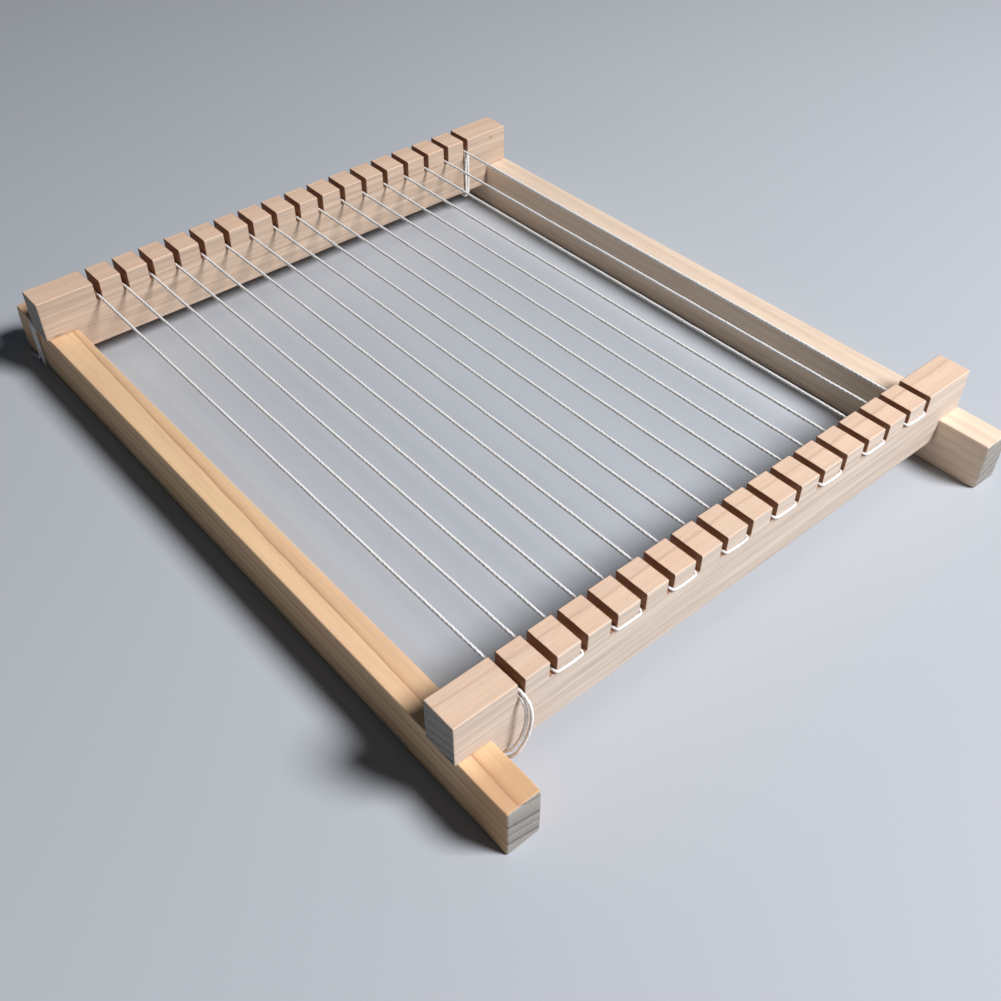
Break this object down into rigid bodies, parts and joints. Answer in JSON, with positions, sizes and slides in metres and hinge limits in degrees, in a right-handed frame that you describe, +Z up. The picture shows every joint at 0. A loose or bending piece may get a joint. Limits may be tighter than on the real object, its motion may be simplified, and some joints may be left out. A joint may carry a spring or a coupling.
{
  "type": "frame loom",
  "caption": "Small wooden frame loom: two side rails, two slotted crossbars lapped over them, and a cotton warp wound from slot to slot.",
  "frame": {"origin": "middle of the loom's footprint, on the table that the rails lie on", "axes": "+X along the crossbars to the right, +Y along the rails from the front crossbar to the back one, +Z up"},
  "size_m": [0.2039, 0.264, 0.0315],
  "materials": {
    "pine": "bare planed softwood, laser-charred slot walls",
    "cotton_yarn": "two-ply twisted cotton",
    "screw_steel": "zinc-plated, satin"
  },
  "bodies": {
    "root": {"left_rail": "pine", "right_rail": "pine", "front_crossbar": "pine", "back_crossbar": "pine", "corner_screws": "screw_steel", "warp_yarn": "cotton_yarn", "start_loops": "cotton_yarn", "finish_wraps": "cotton_yarn", "spare_yarn": "cotton_yarn"}
  },
  "joints": []
}
